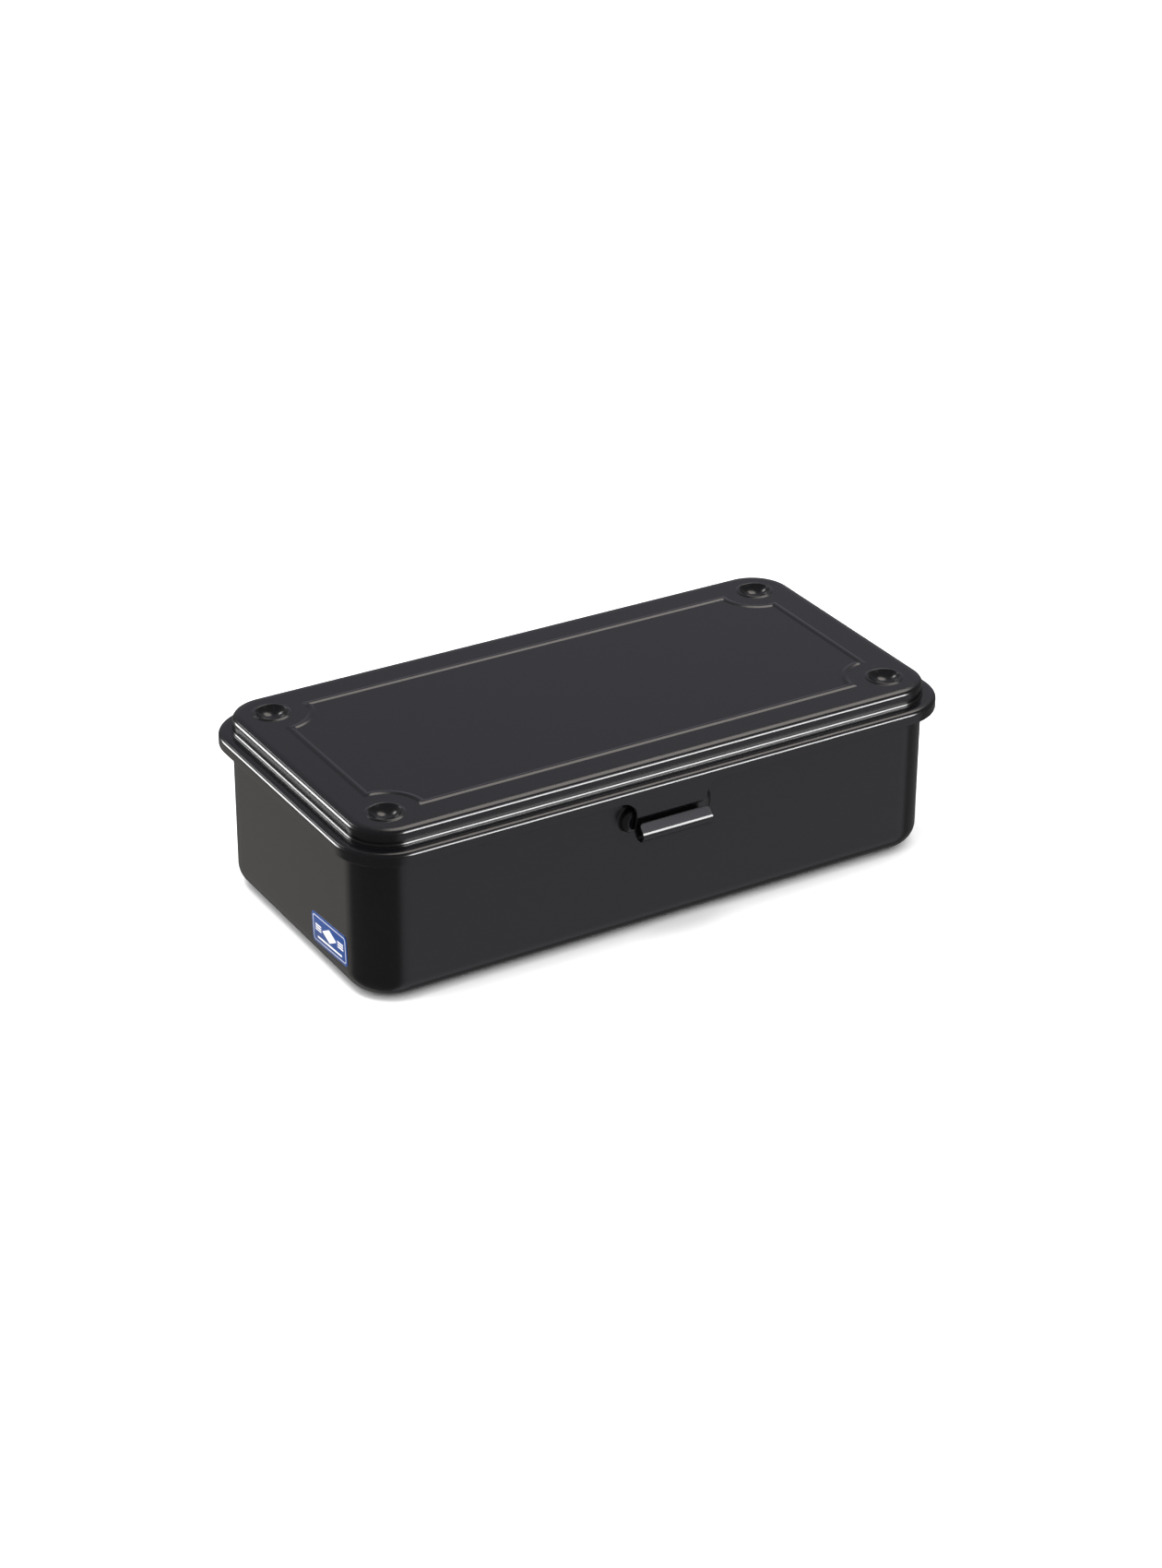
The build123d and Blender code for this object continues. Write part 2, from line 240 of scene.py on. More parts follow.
def begin(name, add, **shape):
    """Adds a primitive as a new piece, with its place in its mesh, and leaves it in edit mode."""
    if bpy.context.object and bpy.context.object.mode == "EDIT":
        bpy.ops.object.mode_set(mode="OBJECT")
    bpy.ops.object.select_all(action="DESELECT")
    add(**shape)
    made = bpy.context.object
    made.name = name
    bpy.ops.object.transform_apply(location=True, rotation=True, scale=True)
    bpy.ops.object.mode_set(mode="EDIT")
    bpy.ops.mesh.select_mode(type="VERT")
    bpy.ops.mesh.select_all(action="SELECT")
    return made


def join(piece, *others):
    """Joins finished stretches of one sheet, and leaves the result in edit mode."""
    bpy.ops.object.mode_set(mode="OBJECT")
    bpy.ops.object.select_all(action="DESELECT")
    for part in (*others, piece):
        part.select_set(True)
    bpy.context.view_layer.objects.active = piece
    bpy.ops.object.join()
    bpy.ops.object.mode_set(mode="EDIT")


def cut(place, normal, clear=False):
    """Cuts everything being edited at a plane, and can clear what lies beyond it."""
    bpy.ops.mesh.select_all(action="SELECT")
    bpy.ops.mesh.bisect(plane_co=place, plane_no=normal, clear_outer=clear, threshold=exact * mm)


def round_sheet(name, length, width, corner, steps, height):
    """A flat face with round plan corners, which starts a piece."""
    made = begin(name, bpy.ops.mesh.primitive_plane_add, size=mm, location=spot(0, 0, height))
    bpy.ops.transform.resize(value=(length, width, 1), center_override=spot(0, 0, height))
    bpy.ops.mesh.bevel(affect="VERTICES", offset=corner * mm, segments=steps)
    bpy.ops.mesh.select_mode(type="FACE")
    bpy.ops.mesh.select_all(action="SELECT")
    return made


def round_face(radius, x, y, z, steps, turn=0):
    """Adds a flat round face to the piece that is being edited, turned about X, and selects it."""
    bpy.ops.mesh.select_mode(type="FACE")
    bpy.ops.mesh.primitive_circle_add(
        vertices=steps, radius=radius * mm, fill_type="NGON", location=spot(x, y, z),
        rotation=(math.radians(turn), 0, 0),
    )


def finish_sheet(piece, thickness, edge, inside=False):
    """Gives an open surface its sheet thickness behind the face, eases the raw edges and smooths it."""
    bpy.ops.mesh.select_all(action="SELECT")
    bpy.ops.mesh.remove_doubles(threshold=exact * mm)
    bpy.ops.mesh.normals_make_consistent(inside=inside)
    bpy.ops.object.mode_set(mode="OBJECT")
    wall = piece.modifiers.new("wall", "SOLIDIFY")
    wall.thickness = thickness * mm
    wall.offset = -1
    wall.use_even_offset = True
    ease = piece.modifiers.new("edges", "BEVEL")
    ease.width = edge * mm
    ease.segments = 2
    ease.limit_method = "ANGLE"
    ease.angle_limit = math.radians(55)
    bpy.ops.object.shade_smooth()
    piece.modifiers.new("shading", "WEIGHTED_NORMAL").keep_sharp = True
    for step in list(piece.modifiers):
        bpy.ops.object.modifier_apply(modifier=step.name)


# the rim, from the skirt's edge up and in to the plate
lid_length = (lid_high.x - lid_low.x) / mm
lid_width = 2 * (lid_high.y - middle_y) / mm
lid_corner = 16.8
corner_steps = 32
skirt_bottom = 46.9
skirt_top = 49.5
brim_roll = 1.2
brim_ease = 7.0
brim_tilt = 15
brim_flat = 1.25
foot_crease = 0.12
step_roll = 0.9
step_groove = 0.8
step_tilt = 28
step_slope = 0.1
step_foot = 51.2
top_roll = 1.4
top_ease = 6.0
top_tilt = 20
plate_top = 56.0
plate_margin = 0.3
lid_edge = 0.28


def rise(radius, tilt):
    """How far a bend climbs between level and a tilt, in degrees."""
    return radius * (1 - math.cos(math.radians(tilt)))


lid = round_sheet("lid_pressing", lid_length, lid_width, lid_corner, corner_steps, skirt_bottom)
straight(skirt_top - skirt_bottom, 90)
bend(brim_roll, 90, brim_tilt - 90, 9)
bend(brim_ease, brim_tilt, -brim_tilt, 6)
brim_top = skirt_top + brim_roll * math.cos(math.radians(brim_tilt)) + rise(brim_ease, brim_tilt)
straight(brim_flat, 0)
bend(foot_crease, 0, 90, 3)
straight(step_foot - brim_top - foot_crease, 90)
bend(step_roll, 90, -step_tilt, 6)
straight(step_slope, 90 - step_tilt)
bend(step_groove, 90 - step_tilt, step_tilt, 6)
step_head = step_foot + (step_roll + step_groove) * math.sin(math.radians(step_tilt))
step_head += step_slope * math.cos(math.radians(step_tilt))
roll_foot = plate_top - rise(top_ease, top_tilt) - top_roll * math.cos(math.radians(top_tilt))
straight(roll_foot - step_head, 90)
bend(top_roll, 90, top_tilt - 90, 9)
bend(top_ease, top_tilt, -top_tilt, 8)
straight(plate_margin, 0)
bpy.ops.mesh.delete(type="FACE")

# the latch tab, cut in one with the front skirt: it leans in, then curls out and up to a lip
tab_half = 12.1
tab_corner = 4.7
tab_straight = 42.33
tab_bend = 5.3
hook = 2.3
curl = 1.6
curl_y, curl_low = -53.5, 35.05
lip_lean = 44
lip_length = 2.8
lip_corner = 1.3
midway = 1

for x in (-tab_half, tab_half):
    cut(spot(x, 0, 0), (1, 0, 0))
pick("EDGE", lambda e, at: at.z < skirt_bottom + near and at.y < 0 and abs(at.x) < midway)
drop = (tab_straight - skirt_bottom) * mm
bpy.ops.mesh.extrude_edges_move(TRANSFORM_OT_translate={"value": (0, 0, drop)})
front = -lid_width / 2
pick("FACE", lambda f, at: abs(at.y - front) < near and at.z < skirt_top)
bpy.ops.mesh.dissolve_faces()
pick(
    "VERT",
    lambda v, at: abs(abs(at.x) - tab_half) < near and abs(at.z - skirt_bottom) < near and at.y < 0,
)
bpy.ops.mesh.bevel(affect="VERTICES", offset=tab_corner * mm, segments=12)
hook_z = curl_low + hook
apart = Vector((front + tab_bend - curl_y, tab_straight - hook_z))
lean = math.degrees(math.asin((tab_bend + hook) / apart.length) - math.atan2(apart.x, apart.y))
pick("EDGE", lambda e, at: abs(at.z - tab_straight) < near and abs(at.x) < midway)
bpy.ops.mesh.spin(
    steps=5, angle=math.radians(lean), axis=(-1, 0, 0), center=spot(0, front + tab_bend, tab_straight),
)
slope_y = front + tab_bend * (1 - math.cos(math.radians(lean)))
slope_z = tab_straight - tab_bend * math.sin(math.radians(lean))
touch_y = curl_y + hook * math.cos(math.radians(lean))
touch_z = hook_z + hook * math.sin(math.radians(lean))
bpy.ops.mesh.extrude_edges_move(
    TRANSFORM_OT_translate={"value": (0, (touch_y - slope_y) * mm, (touch_z - slope_z) * mm)},
)
bpy.ops.mesh.spin(
    steps=10, angle=math.radians(90 + lean), axis=(1, 0, 0), center=spot(0, curl_y, hook_z),
)
bpy.ops.mesh.spin(
    steps=14, angle=math.radians(90 + lip_lean), axis=(1, 0, 0), center=spot(0, curl_y, curl_low + curl),
)
lip_run = Vector((0, math.sin(math.radians(lip_lean)), math.cos(math.radians(lip_lean)))) * lip_length
bpy.ops.mesh.extrude_edges_move(TRANSFORM_OT_translate={"value": lip_run * mm})
lip_y = curl_y - curl * math.cos(math.radians(lip_lean)) + lip_run.y
lip_z = curl_low + curl + curl * math.sin(math.radians(lip_lean)) + lip_run.z
pick("VERT", lambda v, at: abs(at.z - lip_z) < near and abs(at.y - lip_y) < near)
bpy.ops.mesh.bevel(affect="VERTICES", offset=lip_corner * mm, segments=6)

# the raised bead: its outline steps round each bowl, so a quarter is worked and mirrored
bowl_x, bowl_y = 85.3, 35.8
bead_x, bead_y = 86.4, 37.2
bead_notch = 10.6
notch_end_x, notch_end_y = 1.4, 1.5
bead_width = 2.6
bead_rise = 0.25
bead_slope = 15
bead_round = 0.8
ring_foot = 6.1
ring_toe = 0.6
ring_slope = 24
ring_flank = 0.5
ring_crest = 0.62
bowl_slope = 46
bowl_round = 6.4
bowl_middle = 2

bead = begin(
    "bead", bpy.ops.mesh.primitive_circle_add, vertices=80, radius=bead_notch * mm,
    location=spot(bowl_x, bowl_y, plate_top),
)
cut(spot(bead_x, 0, 0), (1, 0, 0), clear=True)
cut(spot(0, bead_y, 0), (0, 1, 0), clear=True)
pick(
    "VERT",
    lambda v, at: bowl_x - notch_end_x < at.x < bead_x - near or bowl_y - notch_end_y < at.y < bead_y - near,
)
bpy.ops.mesh.dissolve_verts()
pick("VERT", lambda v, at: abs(at.x - bead_x) < near)
lowest = min(v.co.y for v in bmesh.from_edit_mesh(bead.data).verts if v.select)
bpy.ops.mesh.extrude_vertices_move(TRANSFORM_OT_translate={"value": (0, middle_y - lowest, 0)})
pick("VERT", lambda v, at: abs(at.y - bead_y) < near)
lowest = min(v.co.x for v in bmesh.from_edit_mesh(bead.data).verts if v.select)
bpy.ops.mesh.extrude_vertices_move(TRANSFORM_OT_translate={"value": (-lowest, 0, 0)})
bpy.ops.object.mode_set(mode="OBJECT")
mirror = bead.modifiers.new("quarters", "MIRROR")
mirror.use_axis = (True, True, False)
mirror.merge_threshold = exact * mm
bead.data.transform(Matrix.Translation((0, -middle_y, 0)))
bpy.ops.object.modifier_apply(modifier="quarters")
bead.data.transform(Matrix.Translation((0, middle_y, 0)))
bpy.ops.object.mode_set(mode="EDIT")
bpy.ops.mesh.select_all(action="SELECT")
bpy.ops.mesh.edge_face_add()
slope_run = bead_rise - 2 * bead_round * (1 - math.cos(math.radians(bead_slope)))
slope_run /= math.sin(math.radians(bead_slope))
crest = bead_width - 2 * slope_run * math.cos(math.radians(bead_slope))
crest -= 4 * bead_round * math.sin(math.radians(bead_slope))
bend(bead_round, 0, bead_slope, 3)
straight(slope_run, bead_slope)
bend(bead_round, bead_slope, -bead_slope, 3)
straight(crest, 0)
bend(bead_round, 0, -bead_slope, 3)
straight(slope_run, -bead_slope)
bend(bead_round, -bead_slope, bead_slope, 3)

# the four stacking bowls, each with a ring that stands up round it
for x in (-bowl_x, bowl_x):
    for y in (-bowl_y, bowl_y):
        round_face(ring_foot, x, y, plate_top, 64)
        bend(ring_toe, 0, ring_slope, 3)
        straight(ring_flank, ring_slope)
        bend(ring_crest, ring_slope, -ring_slope - bowl_slope, 8)
        bend(bowl_round, -bowl_slope, bowl_slope - bowl_middle, 9)
        bpy.ops.mesh.merge(type="CENTER")

# rim, bead and bowls become one sheet: the flat of the plate is filled in between them
join(lid, bead)
pick("EDGE", lambda e, at: e.is_boundary and abs(at.z - plate_top) < exact)
bpy.ops.mesh.fill(use_beauty=True)

finish_sheet(lid, sheet, lid_edge)

# black baked enamel: sprayed on the pressed steel and stoved. It is a deep black under a smooth film
# that keeps highlights fairly sharp, with a faint orange peel of 2.2 waves to the mm.
peel_waves = 2.2
peel_depth = 0.02

paint, tree, output = new_material("black_baked_enamel")
coords = add_node(tree, "ShaderNodeTexCoord")
peel = add_node(
    tree, "ShaderNodeTexNoise", Vector=coords.outputs["Object"], Scale=peel_waves / mm, Detail=2.0,
)
bump = add_node(
    tree, "ShaderNodeBump", Height=peel.outputs["Fac"], Strength=0.06, Distance=peel_depth * mm,
)
skin = add_node(
    tree, "ShaderNodeBsdfPrincipled", Base_Color=colour("#08080A"), Roughness=0.2, IOR=1.42,
    Normal=bump.outputs["Normal"],
)
tree.links.new(skin.outputs[0], output.inputs["Surface"])
lid.data.materials.clear()
lid.data.materials.append(paint)
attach(lid, "lid")
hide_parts("lid_shell")


# ---- tray ----
# Deep drawn from one 0.6 mm steel sheet: a flat base on four pressed feet, upright walls with round
# corners, and a flange turned out and hemmed under the lid. A rib struck out in front holds the latch.

tray_length = (tray_high.x - tray_low.x) / mm
tray_width = 100.2
tray_corner = 16.2
tray_edge = 0.15
flange_top = tray_high.z / mm
hem_drop = 1.2
hem_roll = 0.9
flange_reach = 2.4
mouth_roll = 1.2
base_top = 1.1
base_round = 5.8

tray = round_sheet(
    "tray_pressing", tray_length, tray_width, tray_corner, corner_steps, flange_top - hem_drop,
)
straight(hem_drop - hem_roll, 90)
bend(hem_roll, 90, -90, 6)
straight(flange_reach + sheet - hem_roll - mouth_roll, 0)
bend(mouth_roll, 0, -90, 8)
straight(flange_top - mouth_roll - base_top - base_round, -90)
bend(base_round, -90, 90, 14)
bpy.ops.mesh.delete(type="FACE")

# the four feet, pressed down out of the base
foot_start = 4.6
foot_drop = 0.5
foot_rim = 1.0
foot_toe = 0.3
foot_slope = math.degrees(math.acos(1 - foot_drop / (foot_rim + foot_toe)))
for x in (-bowl_x, bowl_x):
    for y in (-bowl_y, bowl_y):
        round_face(foot_start, x, y, base_top, 48)
        bend(foot_rim, 0, -foot_slope, 4)
        bend(foot_toe, -foot_slope, foot_slope, 3)
pick("EDGE", lambda e, at: e.is_boundary and abs(at.z - base_top) < exact)
bpy.ops.mesh.fill(use_beauty=True)

# the latch rib, struck out of the front wall
wall_inside = -47.1
whole_wall = 100
rib_length = 30.8
rib_height = 8.4
rib_middle = 39.2
rib_stand = 2.4
rib_crest = 1.5
rib_root = 1.4
rib_slope = math.degrees(math.acos(1 - rib_stand / (rib_crest + rib_root)))
rib_spread = (rib_root + rib_crest) * math.sin(math.radians(rib_slope)) - rib_crest - sheet

pick("FACE", lambda f, at: abs(at.y - wall_inside) < exact and f.calc_area() > whole_wall * mm * mm)
bpy.ops.mesh.delete(type="FACE")
rib = begin(
    "rib", bpy.ops.mesh.primitive_plane_add, size=mm, rotation=(math.radians(-90), 0, 0),
    location=spot(0, wall_inside, rib_middle),
)
rib_half = rib_height / 2 + rib_spread
bpy.ops.transform.resize(
    value=(rib_length + 2 * rib_spread, 1, 2 * rib_half),
    center_override=spot(0, wall_inside, rib_middle),
)
bpy.ops.mesh.bevel(affect="VERTICES", offset=rib_half * mm, segments=18)
bpy.ops.mesh.select_all(action="SELECT")
bpy.ops.mesh.remove_doubles(threshold=near * mm)
bpy.ops.mesh.select_mode(type="FACE")
bpy.ops.mesh.select_all(action="SELECT")
bend(rib_root, 0, -rib_slope, 8)
bend(rib_crest, -rib_slope, rib_slope, 8)
join(tray, rib)
pick("EDGE", lambda e, at: e.is_boundary and abs(at.y - wall_inside) < exact)
bpy.ops.mesh.fill(use_beauty=True)
finish_sheet(tray, sheet, tray_edge)

tray.data.materials.clear()
tray.data.materials.append(paint)
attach(tray, "tray")
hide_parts("body_tray")

# ---- hinges ----
# Two small steel knuckle hinges across the back. Each leaf is stamped from 0.5 mm strip, rolled into
# knuckles, spot welded on and painted with the box. The pin is a bare steel wire, upset at both ends.

pin_low, pin_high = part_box("hinge_left_pin")
leaf_low, leaf_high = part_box("hinge_left_wall_leaf")
plate_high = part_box("hinge_left_lid_leaf")[1]
other_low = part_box("hinge_right_pin")[0]
hinge_x = (pin_low.x + pin_high.x) / 2 / mm
hinge_y = ((pin_low.y + pin_high.y) / 2 - middle_y) / mm
hinge_z = (pin_low.z + pin_high.z) / 2 / mm
hinge_half = (leaf_high.x - leaf_low.x) / 2 / mm
leaf_sheet = 0.5
leaf_edge = 0.1
leaf_corner = 1.2
leaf_clear = 0.2
knuckle = (leaf_high.z - leaf_low.z) / mm - (hinge_z - leaf_low.z / mm)
knuckle_roll = 300
lid_knuckle = 3.8
wall_knuckle = 4.0
knee = 0.3
weld_out = 6.3
wall_weld = 1.7
lid_weld = 0.75
weld_slope = 20
weld_lip = 0.2
weld_side = 0.2
weld_floor = 0.3


def upright_strip(name, y, low, high, rounded):
    """A flat upright strip of a hinge leaf that faces backwards, with two round corners at a height."""
    middle = spot(hinge_x, y, (low + high) / 2)
    made = begin(
        name, bpy.ops.mesh.primitive_plane_add, size=mm, rotation=(math.radians(-90), 0, 0),
        location=middle,
    )
    bpy.ops.transform.resize(value=(2 * hinge_half, 1, high - low), center_override=middle)
    pick("VERT", lambda v, at: abs(at.z - rounded) < near)
    bpy.ops.mesh.bevel(affect="VERTICES", offset=leaf_corner * mm, segments=8)
    return made


def weld_marks(radius, y, z):
    """Sinks two shallow spot weld marks into the strip's flat face."""
    bpy.ops.mesh.select_all(action="SELECT")
    bpy.ops.mesh.delete(type="ONLY_FACE")
    for x in (-weld_out, weld_out):
        round_face(radius, hinge_x + x, y, z, 24, turn=-90)
        bend(weld_lip, 0, -weld_slope, 2)
        straight(weld_side, -weld_slope)
        bend(weld_floor, -weld_slope, weld_slope, 3)
    pick("EDGE", lambda e, at: len(e.link_faces) < 2)
    bpy.ops.mesh.fill(use_beauty=True)


def roll(turn, y, z, steps):
    """Rolls the selected edges about an axis along X. A positive turn takes the back downwards."""
    bpy.ops.mesh.spin(
        steps=steps, angle=math.radians(abs(turn)), axis=(math.copysign(1, turn), 0, 0),
        center=spot(0, y, z),
    )


# the wall leaf: a plate, then a shelf that rolls up into the two outer knuckles
leaf_y = (leaf_low.y - middle_y) / mm + leaf_sheet
leaf_foot = leaf_low.z / mm
shelf_z = hinge_z - knuckle
wall_leaf = upright_strip("hinge_left_wall_strap", leaf_y, leaf_foot, shelf_z - knee, leaf_foot)
weld_marks(wall_weld, leaf_y, (leaf_foot + shelf_z) / 2)
for x in (-wall_knuckle, wall_knuckle):
    cut(spot(hinge_x + x, 0, 0), (1, 0, 0))
pick("EDGE", lambda e, at: abs(at.z - shelf_z + knee) < exact and abs(at.x - hinge_x) > wall_knuckle)
roll(90, leaf_y + knee, shelf_z - knee, 5)
reach = (hinge_y - leaf_y - knee) * mm
bpy.ops.mesh.extrude_edges_move(TRANSFORM_OT_translate={"value": (0, reach, 0)})
roll(-knuckle_roll, hinge_y, hinge_z, 30)
finish_sheet(wall_leaf, leaf_sheet, leaf_edge)

# the lid leaf: a plate on the skirt, and a tongue that rolls round the pin between them
lid_leaf_y = (plate_high.y - middle_y) / mm
lid_leaf_top = plate_high.z / mm
lid_leaf_foot = skirt_bottom + leaf_clear
lid_leaf = upright_strip("hinge_left_lid_strap", lid_leaf_y, lid_leaf_foot, lid_leaf_top, lid_leaf_top)
weld_marks(lid_weld, lid_leaf_y, (lid_leaf_foot + lid_leaf_top) / 2)
for x in (-lid_knuckle, lid_knuckle):
    cut(spot(hinge_x + x, 0, 0), (1, 0, 0))
pick("EDGE", lambda e, at: abs(at.z - lid_leaf_foot) < exact and abs(at.x - hinge_x) < lid_knuckle)
bpy.ops.mesh.extrude_edges_move(TRANSFORM_OT_translate={"value": (0, 0, (hinge_z - lid_leaf_foot) * mm)})
roll(knuckle_roll, hinge_y, hinge_z, 30)
finish_sheet(lid_leaf, leaf_sheet, leaf_edge)

# the pin: a wire drawn down between its two heads, which are domed by the upsetting
pin_half = (pin_high.x - pin_low.x) / 2 / mm
head_radius = (pin_high.z - pin_low.z) / 2 / mm
pin_radius = 0.7
head_thick = 0.65
head_dome = 0.42
head_edge = 0.1
head_in = pin_half - head_thick


def head_rim(edge, at):
    """True for the edges round the inner side of a pin's head."""
    square = abs(edge.verts[0].co.x - edge.verts[1].co.x) < near * mm
    outer = math.hypot(at.y - hinge_y, at.z - hinge_z) > 0.95 * head_radius
    return square and outer and abs(abs(at.x - hinge_x) - head_in) < near


pin = begin(
    "hinge_left_wire", bpy.ops.mesh.primitive_cylinder_add, vertices=40, radius=head_radius * mm,
    depth=2 * pin_half * mm, rotation=(0, math.radians(90), 0), location=spot(hinge_x, hinge_y, hinge_z),
)
for x in (-head_in, head_in):
    cut(spot(hinge_x + x, 0, 0), (1, 0, 0))
pick("FACE", lambda f, at: abs(at.x - hinge_x) < near)
bpy.ops.mesh.extrude_region_shrink_fatten(
    TRANSFORM_OT_shrink_fatten={"value": (pin_radius - head_radius) * mm},
)
pick("EDGE", lambda e, at: abs(abs(at.x - hinge_x) - pin_half) < near)
bpy.ops.mesh.bevel(affect="EDGES", offset=head_dome * mm, segments=6)
pick("EDGE", head_rim)
bpy.ops.mesh.bevel(affect="EDGES", offset=head_edge * mm, segments=2)
bpy.ops.object.mode_set(mode="OBJECT")
bpy.ops.object.shade_smooth_by_angle(angle=math.radians(40))

# bright drawn steel wire: pulled through a die and left bare. The die's fine lines run along it and
# smear its highlight into streaks: 9 to the mm round the wire, and one in about 3 mm along it.
lines_along = 0.3
lines_across = 9.0
line_depth = 0.02

steel, tree, output = new_material("bright_drawn_steel_wire")
coords = add_node(tree, "ShaderNodeTexCoord")
stretched = add_node(
    tree, "ShaderNodeMapping", Vector=coords.outputs["Object"],
    Scale=(lines_along / mm, lines_across / mm, lines_across / mm),
)
lines = add_node(tree, "ShaderNodeTexNoise", Vector=stretched.outputs[0], Scale=1.0, Detail=3.0)
rough = add_node(tree, "ShaderNodeMapRange", i0=lines.outputs["Fac"], i1=0.3, i2=0.7, i3=0.22, i4=0.38)
scratch = add_node(
    tree, "ShaderNodeBump", Height=lines.outputs["Fac"], Strength=0.3, Distance=line_depth * mm,
)
metal = add_node(
    tree, "ShaderNodeBsdfPrincipled", Base_Color=colour("#B9B6B0"), Metallic=1.0,
    Roughness=rough.outputs[0], Normal=scratch.outputs["Normal"],
)
tree.links.new(metal.outputs[0], output.inputs["Surface"])

# each hinge piece gets its finish, and a copy for the right hinge
hinge_step = other_low.x - pin_low.x
for piece, finish, body, node, slot in (
    (wall_leaf, paint, "tray", "wall_leaf", "hinge_paint"),
    (lid_leaf, paint, "lid", "lid_leaf", "hinge_paint"),
    (pin, steel, "tray", "pin", "pin_steel"),
):
    piece.data.materials.clear()
    piece.data.materials.append(finish)
    twin = piece.copy()
    twin.data = piece.data.copy()
    twin.name = piece.name.replace("left", "right")
    twin.data.transform(Matrix.Translation((hinge_step, 0, 0)))
    bpy.context.collection.objects.link(twin)
    for side, made in (("left", piece), ("right", twin)):
        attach(made, body)
        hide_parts(f"hinge_{side}_{node}")

# ---- end label ----
# A small printed film sticker, stuck on by hand low on the left end, near the front, and so a little
# out of level. The print is a plain one: a border line, a diamond and a few bars.

label_low, label_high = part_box("end_label")
label_middle = (label_low + label_high) / 2
label_tilt = math.radians(3.5)
label_length = 21.8
label_height = 9.8
label_corner = 1.4
label_side = 0.4
film = (label_high.x - label_low.x) / mm
border = (10.0, 4.0, 0.9, 0.28)
bar_rows = (-0.35, 0.45, 1.25)
bar_out = 6.9
bar = (1.8, 0.2, 0.1, 0)
long_bar_z = -2.6
long_bar = (7.6, 0.3, 0.2, 0)
diamond_z = 0.45
diamond_half = (4.4, 2.2)

label = begin(
    "printed_end_label", bpy.ops.mesh.primitive_plane_add, size=mm, rotation=(0, math.radians(-90), 0),
    location=(label_low.x, label_middle.y, label_middle.z),
)
bpy.ops.transform.resize(
    value=(1, label_length, label_height), center_override=(label_low.x, label_middle.y, label_middle.z),
)
bpy.ops.mesh.bevel(affect="VERTICES", offset=label_corner * mm, segments=10)
bpy.ops.mesh.select_all(action="SELECT")
bpy.ops.transform.rotate(value=label_tilt, orient_axis="X", center_override=label_middle)
bpy.ops.mesh.extrude_region_move(TRANSFORM_OT_translate={"value": (film * mm, 0, 0)})
bpy.ops.mesh.select_all(action="SELECT")
bpy.ops.mesh.normals_make_consistent(inside=False)
pick("EDGE", lambda e, at: all(v.co.x < label_low.x + near * mm for v in e.verts))
bpy.ops.mesh.bevel(affect="EDGES", offset=label_side * film * mm, segments=2)
bpy.ops.object.mode_set(mode="OBJECT")
bpy.ops.object.shade_smooth_by_angle(angle=math.radians(35))

# gloss printed film: blue and white inks under a clear plastic skin, which gives an even, slightly
# rippled shine. The ink's blotches are about 2.5 mm across and the ripples 4 mm. The print is on
# coordinates in mm from the label's middle: Y runs back along it and Z up it.
ink_blotches = 0.4
film_ripples = 0.25
ripple_depth = 0.05

print_film, tree, output = new_material("gloss_printed_film")
coords = add_node(tree, "ShaderNodeTexCoord")
flat = add_node(
    tree, "ShaderNodeMapping", {"vector_type": "TEXTURE"}, Vector=coords.outputs["Object"],
    Location=label_middle, Rotation=(-label_tilt, 0, 0), Scale=(mm, mm, mm),
)
ink = add_node(
    tree, "ShaderNodeTexNoise", Vector=coords.outputs["Object"], Scale=ink_blotches / mm, Detail=4.0,
)
ground = add_node(
    tree, "ShaderNodeMix", {"data_type": "RGBA"}, i0=ink.outputs["Fac"],
    i6=colour("#04306F"), i7=colour("#0C4186"),
)
printed = ground.outputs[2]


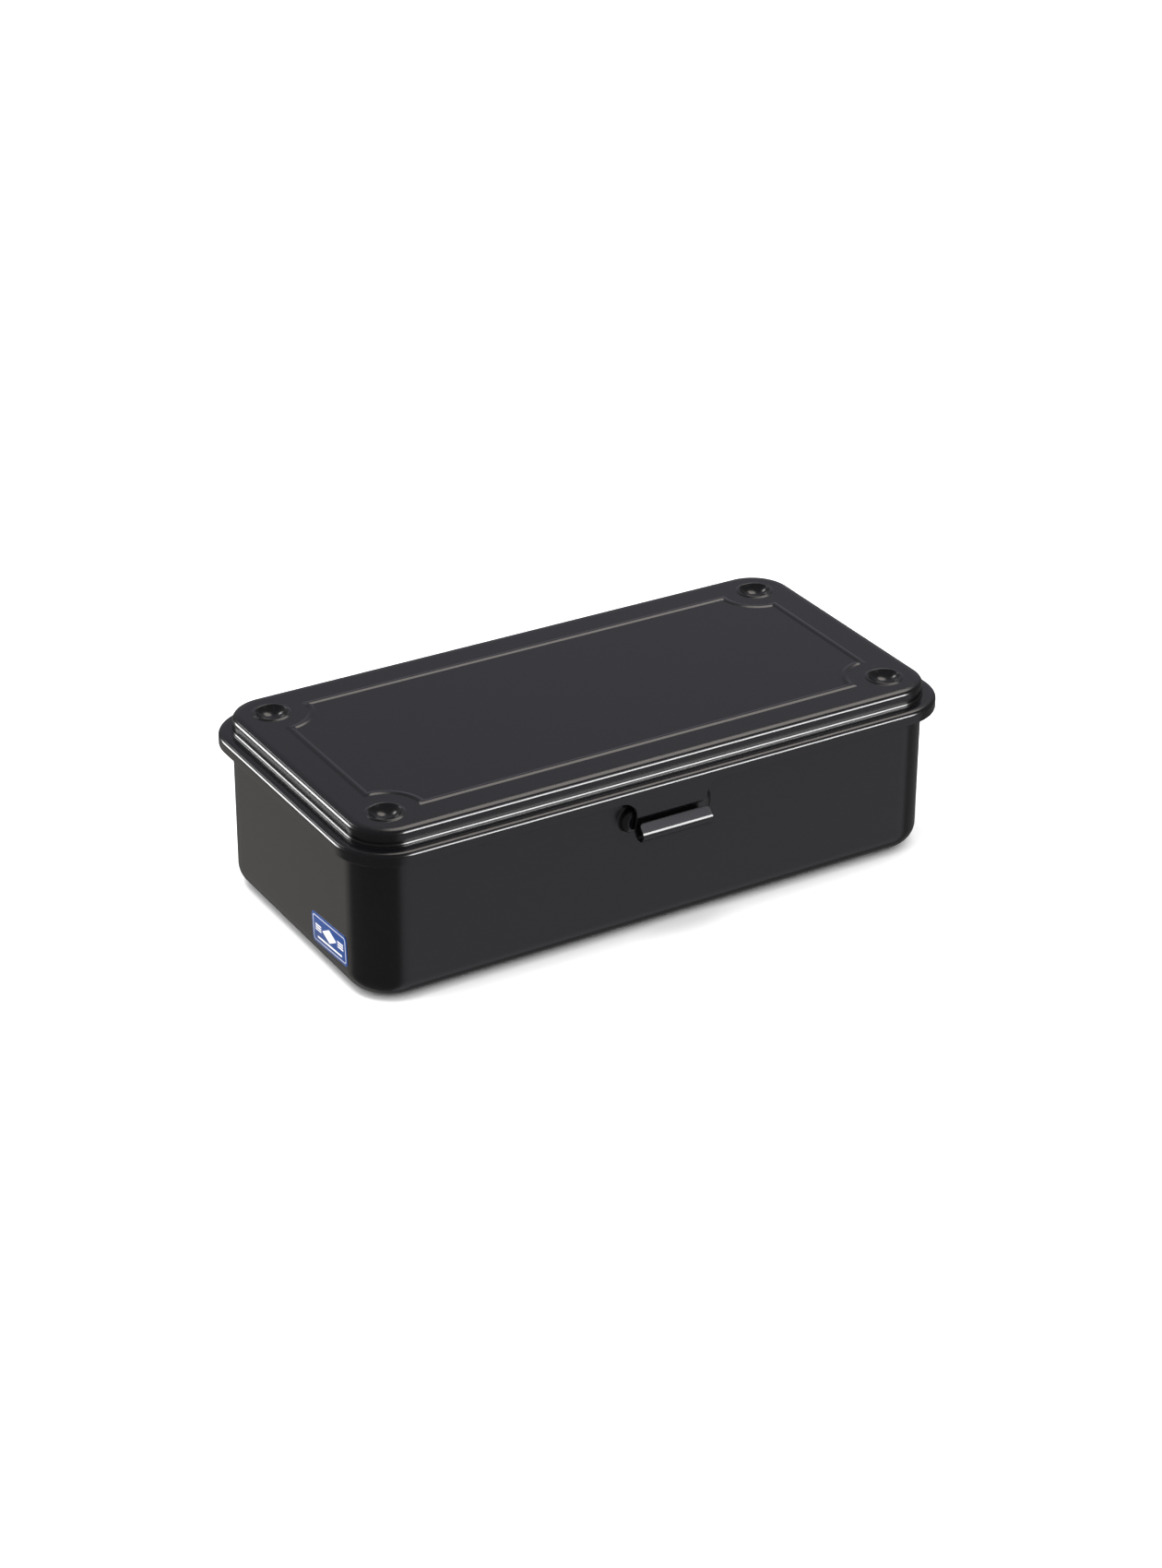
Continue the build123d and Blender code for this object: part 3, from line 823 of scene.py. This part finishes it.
def stamped(below, y, z, half_y, half_z, corner, line, tint):
    """Prints a rounded patch, or only its outline if it has a line width, over what is below it."""
    moved = add_node(
        tree, "ShaderNodeVectorMath", {"operation": "SUBTRACT"}, i0=flat.outputs[0], i1=(0, y, z),
    )
    folded = add_node(tree, "ShaderNodeVectorMath", {"operation": "ABSOLUTE"}, i0=moved.outputs[0])
    past = add_node(
        tree, "ShaderNodeVectorMath", {"operation": "SUBTRACT"}, i0=folded.outputs[0],
        i1=(1000, half_y - corner, half_z - corner),
    )
    outside = add_node(
        tree, "ShaderNodeVectorMath", {"operation": "MAXIMUM"}, i0=past.outputs[0], i1=(0, 0, 0),
    )
    reach = add_node(tree, "ShaderNodeVectorMath", {"operation": "LENGTH"}, i0=outside.outputs[0])
    edge = add_node(tree, "ShaderNodeMath", {"operation": "SUBTRACT"}, i0=reach.outputs["Value"], i1=corner)
    if line:
        edge = add_node(tree, "ShaderNodeMath", {"operation": "ABSOLUTE"}, i0=edge.outputs[0])
        edge = add_node(tree, "ShaderNodeMath", {"operation": "SUBTRACT"}, i0=edge.outputs[0], i1=line / 2)
    mask = add_node(tree, "ShaderNodeMapRange", i0=edge.outputs[0], i1=-0.03, i2=0.03, i3=1.0, i4=0.0)
    mixed = add_node(
        tree, "ShaderNodeMix", {"data_type": "RGBA"}, i0=mask.outputs[0], i6=below, i7=colour(tint),
    )
    return mixed.outputs[2]


printed = stamped(printed, 0, 0, *border, "#C9CBD0")
for z in bar_rows:
    for y in (-bar_out, bar_out):
        printed = stamped(printed, y, z, *bar, "#F4F3EE")
printed = stamped(printed, 0, long_bar_z, *long_bar, "#F4F3EE")
diamond = add_node(
    tree, "ShaderNodeVectorMath", {"operation": "SUBTRACT"}, i0=flat.outputs[0], i1=(0, 0, diamond_z),
)
diamond = add_node(tree, "ShaderNodeVectorMath", {"operation": "ABSOLUTE"}, i0=diamond.outputs[0])
diamond = add_node(
    tree, "ShaderNodeVectorMath", {"operation": "DOT_PRODUCT"}, i0=diamond.outputs[0],
    i1=(0, 1 / diamond_half[0], 1 / diamond_half[1]),
)
mask = add_node(tree, "ShaderNodeMapRange", i0=diamond.outputs["Value"], i1=0.98, i2=1.01, i3=1.0, i4=0.0)
mixed = add_node(
    tree, "ShaderNodeMix", {"data_type": "RGBA"}, i0=mask.outputs[0], i6=printed, i7=colour("#F4F3EE"),
)
ripple = add_node(
    tree, "ShaderNodeTexNoise", Vector=coords.outputs["Object"], Scale=film_ripples / mm, Detail=1.0,
)
bump = add_node(
    tree, "ShaderNodeBump", Height=ripple.outputs["Fac"], Strength=0.2, Distance=ripple_depth * mm,
)
skin = add_node(
    tree, "ShaderNodeBsdfPrincipled", Base_Color=mixed.outputs[2], Roughness=0.28, IOR=1.49,
    Normal=bump.outputs["Normal"],
)
tree.links.new(skin.outputs[0], output.inputs["Surface"])
label.data.materials.append(print_film)
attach(label, "tray")
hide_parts("end_label")
